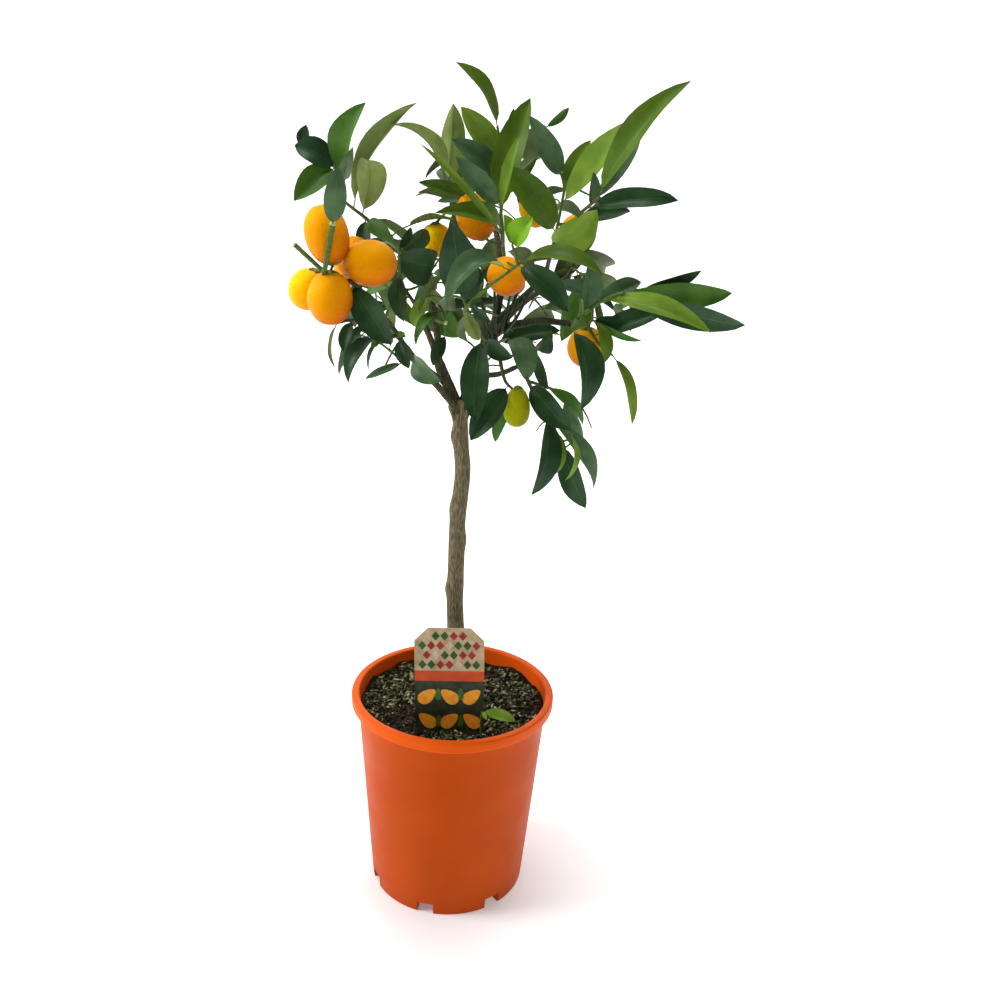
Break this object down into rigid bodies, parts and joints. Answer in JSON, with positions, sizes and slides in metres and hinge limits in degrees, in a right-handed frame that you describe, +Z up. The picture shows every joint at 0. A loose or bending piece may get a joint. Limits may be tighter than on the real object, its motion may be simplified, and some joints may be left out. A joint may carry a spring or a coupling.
{
  "type": "potted kumquat tree",
  "caption": "Small kumquat tree with a slim bare trunk, an open crown of lance-shaped leaves and oval fruit, in a round tapered nursery pot with soil and a plant label.",
  "frame": {"origin": "centre of the flat underside of the pot", "axes": "+Z up along the pot axis, -Y towards the pictured front, +X to the right in the picture"},
  "size_m": [0.3482, 0.3119, 0.749],
  "materials": {
    "pot": "satin",
    "soil": "rough",
    "label": "printed, satin",
    "bark": "rough bark",
    "foliage": "waxy leaves"
  },
  "bodies": {
    "root": {"pot": "pot", "soil": "soil", "label": "label", "trunk": "bark", "bough_left": "bark", "bough_left_front": "bark", "bough_left_low": "bark", "bough_right": "bark", "bough_right_low": "bark", "bough_hanging": "bark", "bough_centre": "bark", "bough_crest": "bark", "bough_crest_right": "bark", "bough_back_left": "bark", "bough_back_right": "bark", "bough_back_top": "bark", "bough_back_low": "bark", "foliage_left_fruit": "foliage", "foliage_left_upper": "foliage", "foliage_left_low": "foliage", "foliage_crest": "foliage", "foliage_crest_right": "foliage", "foliage_centre": "foliage", "foliage_right": "foliage", "foliage_right_low": "foliage", "foliage_hanging": "foliage", "foliage_back_left": "foliage", "foliage_back_right": "foliage", "foliage_back_top": "foliage", "foliage_back_low": "foliage"}
  },
  "joints": []
}
